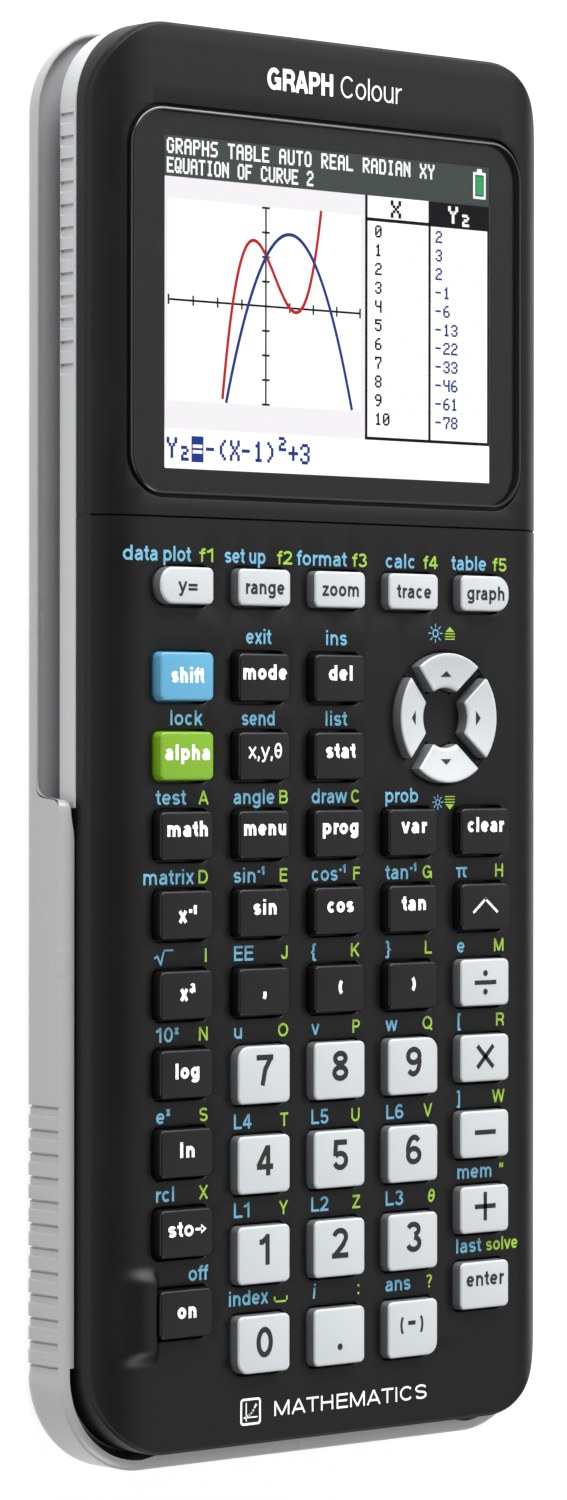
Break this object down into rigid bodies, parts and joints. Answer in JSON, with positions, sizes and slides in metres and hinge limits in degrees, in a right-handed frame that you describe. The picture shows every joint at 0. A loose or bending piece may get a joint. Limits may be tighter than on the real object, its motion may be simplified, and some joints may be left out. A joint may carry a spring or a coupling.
{
  "type": "graphing calculator",
  "caption": "Handheld graphing calculator: colour display, sprung number and function keys, arrow pad, and a grey slide cover stored on its back.",
  "frame": {"origin": "middle of the bottom of the bounding box, on the flat outside of the slide cover's floor, with the calculator lying on its back", "axes": "+Y along the calculator from the number keys towards the top of the display, +X to the right of the keyboard, +Z out of the keyboard"},
  "size_m": [0.083, 0.186, 0.0148],
  "materials": {
    "housing_black": "fine satin moulded plastic",
    "housing_grey": "light grey satin moulded plastic",
    "cover_grey": "light grey satin moulded plastic with a slightly glossier rim",
    "window_clear": "clear glossy acrylic with a black printed border behind it",
    "display_panel": "lit colour display showing a plot and a table",
    "board_green": "solder-masked board",
    "silicone": "translucent silicone sheet",
    "battery_wrap": "shrink-wrapped cell",
    "door_grey": "light grey satin moulded plastic",
    "port_steel": "plated steel shell",
    "key_white": "white semi-gloss moulded key cap",
    "key_black": "black satin moulded key cap",
    "key_blue": "light blue semi-gloss moulded key cap",
    "key_green": "lime green semi-gloss moulded key cap"
  },
  "bodies": {
    "calculator": {"front_housing": "housing_black", "rear_housing": "housing_grey", "display_window": "window_clear", "lcd_module": "display_panel", "circuit_board": "board_green", "keypad_membrane": "silicone", "battery_pack": "battery_wrap", "battery_door": "door_grey", "usb_port": "port_steel"},
    "cover": {"slide_cover": "cover_grey"},
    "key_y_equals_cap": {"key_y_equals": "key_white"},
    "key_window_cap": {"key_window": "key_white"},
    "key_zoom_cap": {"key_zoom": "key_white"},
    "key_trace_cap": {"key_trace": "key_white"},
    "key_graph_cap": {"key_graph": "key_white"},
    "key_second_cap": {"key_second": "key_blue"},
    "key_mode_cap": {"key_mode": "key_black"},
    "key_delete_cap": {"key_delete": "key_black"},
    "key_alpha_cap": {"key_alpha": "key_green"},
    "key_variable_cap": {"key_variable": "key_black"},
    "key_stat_cap": {"key_stat": "key_black"},
    "key_math_cap": {"key_math": "key_black"},
    "key_apps_cap": {"key_apps": "key_black"},
    "key_program_cap": {"key_program": "key_black"},
    "key_vars_cap": {"key_vars": "key_black"},
    "key_clear_cap": {"key_clear": "key_black"},
    "key_inverse_cap": {"key_inverse": "key_black"},
    "key_sin_cap": {"key_sin": "key_black"},
    "key_cos_cap": {"key_cos": "key_black"},
    "key_tan_cap": {"key_tan": "key_black"},
    "key_power_cap": {"key_power": "key_black"},
    "key_square_cap": {"key_square": "key_black"},
    "key_comma_cap": {"key_comma": "key_black"},
    "key_paren_open_cap": {"key_paren_open": "key_black"},
    "key_paren_close_cap": {"key_paren_close": "key_black"},
    "key_divide_cap": {"key_divide": "key_white"},
    "key_log_cap": {"key_log": "key_black"},
    "key_multiply_cap": {"key_multiply": "key_white"},
    "key_ln_cap": {"key_ln": "key_black"},
    "key_minus_cap": {"key_minus": "key_white"},
    "key_store_cap": {"key_store": "key_black"},
    "key_plus_cap": {"key_plus": "key_white"},
    "key_on_cap": {"key_on": "key_black"},
    "key_enter_cap": {"key_enter": "key_white"},
    "key_7_cap": {"key_7": "key_white"},
    "key_8_cap": {"key_8": "key_white"},
    "key_9_cap": {"key_9": "key_white"},
    "key_4_cap": {"key_4": "key_white"},
    "key_5_cap": {"key_5": "key_white"},
    "key_6_cap": {"key_6": "key_white"},
    "key_1_cap": {"key_1": "key_white"},
    "key_2_cap": {"key_2": "key_white"},
    "key_3_cap": {"key_3": "key_white"},
    "key_0_cap": {"key_0": "key_white"},
    "key_point_cap": {"key_point": "key_white"},
    "key_negate_cap": {"key_negate": "key_white"},
    "arrow_up_cap": {"arrow_up": "key_white"},
    "arrow_down_cap": {"arrow_down": "key_white"},
    "arrow_left_cap": {"arrow_left": "key_white"},
    "arrow_right_cap": {"arrow_right": "key_white"}
  },
  "joints": [
    {"name": "cover_slide", "type": "slide", "parent": "calculator", "child": "cover", "axis": [0, -1, 0], "range_m": [0, 0.19]},
    {"name": "press_y_equals", "type": "slide", "parent": "calculator", "child": "key_y_equals_cap", "axis": [0, 0, -1], "range_m": [0, 0.0009], "stiffness_N_per_m": 500},
    {"name": "press_window", "type": "slide", "parent": "calculator", "child": "key_window_cap", "axis": [0, 0, -1], "range_m": [0, 0.0009], "stiffness_N_per_m": 500},
    {"name": "press_zoom", "type": "slide", "parent": "calculator", "child": "key_zoom_cap", "axis": [0, 0, -1], "range_m": [0, 0.0009], "stiffness_N_per_m": 500},
    {"name": "press_trace", "type": "slide", "parent": "calculator", "child": "key_trace_cap", "axis": [0, 0, -1], "range_m": [0, 0.0009], "stiffness_N_per_m": 500},
    {"name": "press_graph", "type": "slide", "parent": "calculator", "child": "key_graph_cap", "axis": [0, 0, -1], "range_m": [0, 0.0009], "stiffness_N_per_m": 500},
    {"name": "press_second", "type": "slide", "parent": "calculator", "child": "key_second_cap", "axis": [0, 0, -1], "range_m": [0, 0.0009], "stiffness_N_per_m": 500},
    {"name": "press_mode", "type": "slide", "parent": "calculator", "child": "key_mode_cap", "axis": [0, 0, -1], "range_m": [0, 0.0009], "stiffness_N_per_m": 500},
    {"name": "press_delete", "type": "slide", "parent": "calculator", "child": "key_delete_cap", "axis": [0, 0, -1], "range_m": [0, 0.0009], "stiffness_N_per_m": 500},
    {"name": "press_alpha", "type": "slide", "parent": "calculator", "child": "key_alpha_cap", "axis": [0, 0, -1], "range_m": [0, 0.0009], "stiffness_N_per_m": 500},
    {"name": "press_variable", "type": "slide", "parent": "calculator", "child": "key_variable_cap", "axis": [0, 0, -1], "range_m": [0, 0.0009], "stiffness_N_per_m": 500},
    {"name": "press_stat", "type": "slide", "parent": "calculator", "child": "key_stat_cap", "axis": [0, 0, -1], "range_m": [0, 0.0009], "stiffness_N_per_m": 500},
    {"name": "press_math", "type": "slide", "parent": "calculator", "child": "key_math_cap", "axis": [0, 0, -1], "range_m": [0, 0.0009], "stiffness_N_per_m": 500},
    {"name": "press_apps", "type": "slide", "parent": "calculator", "child": "key_apps_cap", "axis": [0, 0, -1], "range_m": [0, 0.0009], "stiffness_N_per_m": 500},
    {"name": "press_program", "type": "slide", "parent": "calculator", "child": "key_program_cap", "axis": [0, 0, -1], "range_m": [0, 0.0009], "stiffness_N_per_m": 500},
    {"name": "press_vars", "type": "slide", "parent": "calculator", "child": "key_vars_cap", "axis": [0, 0, -1], "range_m": [0, 0.0009], "stiffness_N_per_m": 500},
    {"name": "press_clear", "type": "slide", "parent": "calculator", "child": "key_clear_cap", "axis": [0, 0, -1], "range_m": [0, 0.0009], "stiffness_N_per_m": 500},
    {"name": "press_inverse", "type": "slide", "parent": "calculator", "child": "key_inverse_cap", "axis": [0, 0, -1], "range_m": [0, 0.0009], "stiffness_N_per_m": 500},
    {"name": "press_sin", "type": "slide", "parent": "calculator", "child": "key_sin_cap", "axis": [0, 0, -1], "range_m": [0, 0.0009], "stiffness_N_per_m": 500},
    {"name": "press_cos", "type": "slide", "parent": "calculator", "child": "key_cos_cap", "axis": [0, 0, -1], "range_m": [0, 0.0009], "stiffness_N_per_m": 500},
    {"name": "press_tan", "type": "slide", "parent": "calculator", "child": "key_tan_cap", "axis": [0, 0, -1], "range_m": [0, 0.0009], "stiffness_N_per_m": 500},
    {"name": "press_power", "type": "slide", "parent": "calculator", "child": "key_power_cap", "axis": [0, 0, -1], "range_m": [0, 0.0009], "stiffness_N_per_m": 500},
    {"name": "press_square", "type": "slide", "parent": "calculator", "child": "key_square_cap", "axis": [0, 0, -1], "range_m": [0, 0.0009], "stiffness_N_per_m": 500},
    {"name": "press_comma", "type": "slide", "parent": "calculator", "child": "key_comma_cap", "axis": [0, 0, -1], "range_m": [0, 0.0009], "stiffness_N_per_m": 500},
    {"name": "press_paren_open", "type": "slide", "parent": "calculator", "child": "key_paren_open_cap", "axis": [0, 0, -1], "range_m": [0, 0.0009], "stiffness_N_per_m": 500},
    {"name": "press_paren_close", "type": "slide", "parent": "calculator", "child": "key_paren_close_cap", "axis": [0, 0, -1], "range_m": [0, 0.0009], "stiffness_N_per_m": 500},
    {"name": "press_divide", "type": "slide", "parent": "calculator", "child": "key_divide_cap", "axis": [0, 0, -1], "range_m": [0, 0.0009], "stiffness_N_per_m": 500},
    {"name": "press_log", "type": "slide", "parent": "calculator", "child": "key_log_cap", "axis": [0, 0, -1], "range_m": [0, 0.0009], "stiffness_N_per_m": 500},
    {"name": "press_multiply", "type": "slide", "parent": "calculator", "child": "key_multiply_cap", "axis": [0, 0, -1], "range_m": [0, 0.0009], "stiffness_N_per_m": 500},
    {"name": "press_ln", "type": "slide", "parent": "calculator", "child": "key_ln_cap", "axis": [0, 0, -1], "range_m": [0, 0.0009], "stiffness_N_per_m": 500},
    {"name": "press_minus", "type": "slide", "parent": "calculator", "child": "key_minus_cap", "axis": [0, 0, -1], "range_m": [0, 0.0009], "stiffness_N_per_m": 500},
    {"name": "press_store", "type": "slide", "parent": "calculator", "child": "key_store_cap", "axis": [0, 0, -1], "range_m": [0, 0.0009], "stiffness_N_per_m": 500},
    {"name": "press_plus", "type": "slide", "parent": "calculator", "child": "key_plus_cap", "axis": [0, 0, -1], "range_m": [0, 0.0009], "stiffness_N_per_m": 500},
    {"name": "press_on", "type": "slide", "parent": "calculator", "child": "key_on_cap", "axis": [0, 0, -1], "range_m": [0, 0.0009], "stiffness_N_per_m": 500},
    {"name": "press_enter", "type": "slide", "parent": "calculator", "child": "key_enter_cap", "axis": [0, 0, -1], "range_m": [0, 0.0009], "stiffness_N_per_m": 500},
    {"name": "press_7", "type": "slide", "parent": "calculator", "child": "key_7_cap", "axis": [0, 0, -1], "range_m": [0, 0.0009], "stiffness_N_per_m": 500},
    {"name": "press_8", "type": "slide", "parent": "calculator", "child": "key_8_cap", "axis": [0, 0, -1], "range_m": [0, 0.0009], "stiffness_N_per_m": 500},
    {"name": "press_9", "type": "slide", "parent": "calculator", "child": "key_9_cap", "axis": [0, 0, -1], "range_m": [0, 0.0009], "stiffness_N_per_m": 500},
    {"name": "press_4", "type": "slide", "parent": "calculator", "child": "key_4_cap", "axis": [0, 0, -1], "range_m": [0, 0.0009], "stiffness_N_per_m": 500},
    {"name": "press_5", "type": "slide", "parent": "calculator", "child": "key_5_cap", "axis": [0, 0, -1], "range_m": [0, 0.0009], "stiffness_N_per_m": 500},
    {"name": "press_6", "type": "slide", "parent": "calculator", "child": "key_6_cap", "axis": [0, 0, -1], "range_m": [0, 0.0009], "stiffness_N_per_m": 500},
    {"name": "press_1", "type": "slide", "parent": "calculator", "child": "key_1_cap", "axis": [0, 0, -1], "range_m": [0, 0.0009], "stiffness_N_per_m": 500},
    {"name": "press_2", "type": "slide", "parent": "calculator", "child": "key_2_cap", "axis": [0, 0, -1], "range_m": [0, 0.0009], "stiffness_N_per_m": 500},
    {"name": "press_3", "type": "slide", "parent": "calculator", "child": "key_3_cap", "axis": [0, 0, -1], "range_m": [0, 0.0009], "stiffness_N_per_m": 500},
    {"name": "press_0", "type": "slide", "parent": "calculator", "child": "key_0_cap", "axis": [0, 0, -1], "range_m": [0, 0.0009], "stiffness_N_per_m": 500},
    {"name": "press_point", "type": "slide", "parent": "calculator", "child": "key_point_cap", "axis": [0, 0, -1], "range_m": [0, 0.0009], "stiffness_N_per_m": 500},
    {"name": "press_negate", "type": "slide", "parent": "calculator", "child": "key_negate_cap", "axis": [0, 0, -1], "range_m": [0, 0.0009], "stiffness_N_per_m": 500},
    {"name": "press_arrow_up", "type": "slide", "parent": "calculator", "child": "arrow_up_cap", "axis": [0, 0, -1], "range_m": [0, 0.0009], "stiffness_N_per_m": 500},
    {"name": "press_arrow_down", "type": "slide", "parent": "calculator", "child": "arrow_down_cap", "axis": [0, 0, -1], "range_m": [0, 0.0009], "stiffness_N_per_m": 500},
    {"name": "press_arrow_left", "type": "slide", "parent": "calculator", "child": "arrow_left_cap", "axis": [0, 0, -1], "range_m": [0, 0.0009], "stiffness_N_per_m": 500},
    {"name": "press_arrow_right", "type": "slide", "parent": "calculator", "child": "arrow_right_cap", "axis": [0, 0, -1], "range_m": [0, 0.0009], "stiffness_N_per_m": 500}
  ]
}
